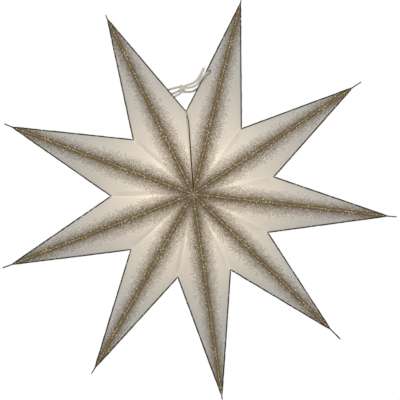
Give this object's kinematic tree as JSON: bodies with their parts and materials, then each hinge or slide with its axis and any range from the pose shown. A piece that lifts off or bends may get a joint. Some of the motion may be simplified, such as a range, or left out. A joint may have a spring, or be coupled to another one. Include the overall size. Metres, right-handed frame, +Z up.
{
  "type": "folding paper star lantern",
  "caption": "Folding paper star lantern with deep pointed arms, gold-dotted ridges and dark glued rims, tied open at its seam with a knotted cotton string.",
  "frame": {"origin": "the centre of the star, where the lamp hangs, on the axis that the points fan about", "axes": "+Z up as the star hangs, -Y the front with the printed ridges towards the viewer, +X the viewer's right"},
  "size_m": [0.5812, 0.1086, 0.5908],
  "materials": {
    "printed_paper": "matte translucent cream paper, bronze dots along each ridge, gold fold line, dark bronze rims",
    "glued_paper": "matte cream paper, unprinted",
    "cotton_string": "twisted undyed cotton, matte"
  },
  "bodies": {
    "point_1": {"front_sheet_1": "printed_paper", "back_sheet_1": "printed_paper", "tie_right_loop": "cotton_string", "tie_right_tail": "cotton_string"},
    "point_2": {"front_sheet_2": "printed_paper", "back_sheet_2": "printed_paper", "glue_flange_front_1": "glued_paper", "glue_flange_back_1": "glued_paper"},
    "point_3": {"front_sheet_3": "printed_paper", "back_sheet_3": "printed_paper", "glue_flange_front_2": "glued_paper", "glue_flange_back_2": "glued_paper"},
    "point_4": {"front_sheet_4": "printed_paper", "back_sheet_4": "printed_paper", "glue_flange_front_3": "glued_paper", "glue_flange_back_3": "glued_paper"},
    "point_5": {"front_sheet_5": "printed_paper", "back_sheet_5": "printed_paper", "glue_flange_front_4": "glued_paper", "glue_flange_back_4": "glued_paper"},
    "point_6": {"front_sheet_6": "printed_paper", "back_sheet_6": "printed_paper", "glue_flange_front_5": "glued_paper", "glue_flange_back_5": "glued_paper"},
    "point_7": {"front_sheet_7": "printed_paper", "back_sheet_7": "printed_paper", "glue_flange_front_6": "glued_paper", "glue_flange_back_6": "glued_paper"},
    "point_8": {"front_sheet_8": "printed_paper", "back_sheet_8": "printed_paper", "glue_flange_front_7": "glued_paper", "glue_flange_back_7": "glued_paper"},
    "point_9": {"front_sheet_9": "printed_paper", "back_sheet_9": "printed_paper", "glue_flange_front_8": "glued_paper", "glue_flange_back_8": "glued_paper", "seam_flange_front": "glued_paper", "seam_flange_back": "glued_paper", "tie_left_loop": "cotton_string", "tie_left_return": "cotton_string", "tie_left_tail": "cotton_string", "reef_knot": "cotton_string", "stopper_knot": "cotton_string"}
  },
  "joints": [
    {"name": "fold_4_5", "type": "hinge", "parent": "point_5", "child": "point_4", "pos_m": [0, 0, 0], "axis": [0, 1, 0], "range_deg": [0, 36.4], "deforming": ["front_sheet_4", "back_sheet_4", "glue_flange_front_3", "glue_flange_back_3", "front_sheet_5", "back_sheet_5", "glue_flange_front_4", "glue_flange_back_4"]},
    {"name": "fold_3_4", "type": "hinge", "parent": "point_4", "child": "point_3", "pos_m": [0, 0, 0], "axis": [0, 1, 0], "range_deg": [0, 37.11], "deforming": ["front_sheet_3", "back_sheet_3", "glue_flange_front_2", "glue_flange_back_2"]},
    {"name": "fold_2_3", "type": "hinge", "parent": "point_3", "child": "point_2", "pos_m": [0, 0, 0], "axis": [0, 1, 0], "range_deg": [0, 39.01], "deforming": ["front_sheet_2", "back_sheet_2", "glue_flange_front_1", "glue_flange_back_1"]},
    {"name": "fold_1_2", "type": "hinge", "parent": "point_2", "child": "point_1", "pos_m": [0, 0, 0], "axis": [0, 1, 0], "range_deg": [0, 40.91], "deforming": ["front_sheet_1", "back_sheet_1"]},
    {"name": "fold_5_6", "type": "hinge", "parent": "point_5", "child": "point_6", "pos_m": [0, 0, 0], "axis": [0, -1, 0], "range_deg": [0, 36.61], "deforming": ["front_sheet_6", "back_sheet_6", "glue_flange_front_5", "glue_flange_back_5"]},
    {"name": "fold_6_7", "type": "hinge", "parent": "point_6", "child": "point_7", "pos_m": [0, 0, 0], "axis": [0, -1, 0], "range_deg": [0, 38.31], "deforming": ["front_sheet_7", "back_sheet_7", "glue_flange_front_6", "glue_flange_back_6"]},
    {"name": "fold_7_8", "type": "hinge", "parent": "point_7", "child": "point_8", "pos_m": [0, 0, 0], "axis": [0, -1, 0], "range_deg": [0, 40.31], "deforming": ["front_sheet_8", "back_sheet_8", "glue_flange_front_7", "glue_flange_back_7"]},
    {"name": "fold_8_9", "type": "hinge", "parent": "point_8", "child": "point_9", "pos_m": [0, 0, 0], "axis": [0, -1, 0], "range_deg": [0, 42.11], "deforming": ["front_sheet_9", "back_sheet_9", "glue_flange_front_8", "glue_flange_back_8", "seam_flange_front", "seam_flange_back"]}
  ],
  "couplings": [
    {"joint": "fold_3_4", "follows": "fold_4_5", "ratio": 1.0192},
    {"joint": "fold_2_3", "follows": "fold_4_5", "ratio": 1.0714},
    {"joint": "fold_1_2", "follows": "fold_4_5", "ratio": 1.1236},
    {"joint": "fold_5_6", "follows": "fold_4_5", "ratio": 1.0055},
    {"joint": "fold_6_7", "follows": "fold_4_5", "ratio": 1.0522},
    {"joint": "fold_7_8", "follows": "fold_4_5", "ratio": 1.1071},
    {"joint": "fold_8_9", "follows": "fold_4_5", "ratio": 1.1566}
  ]
}
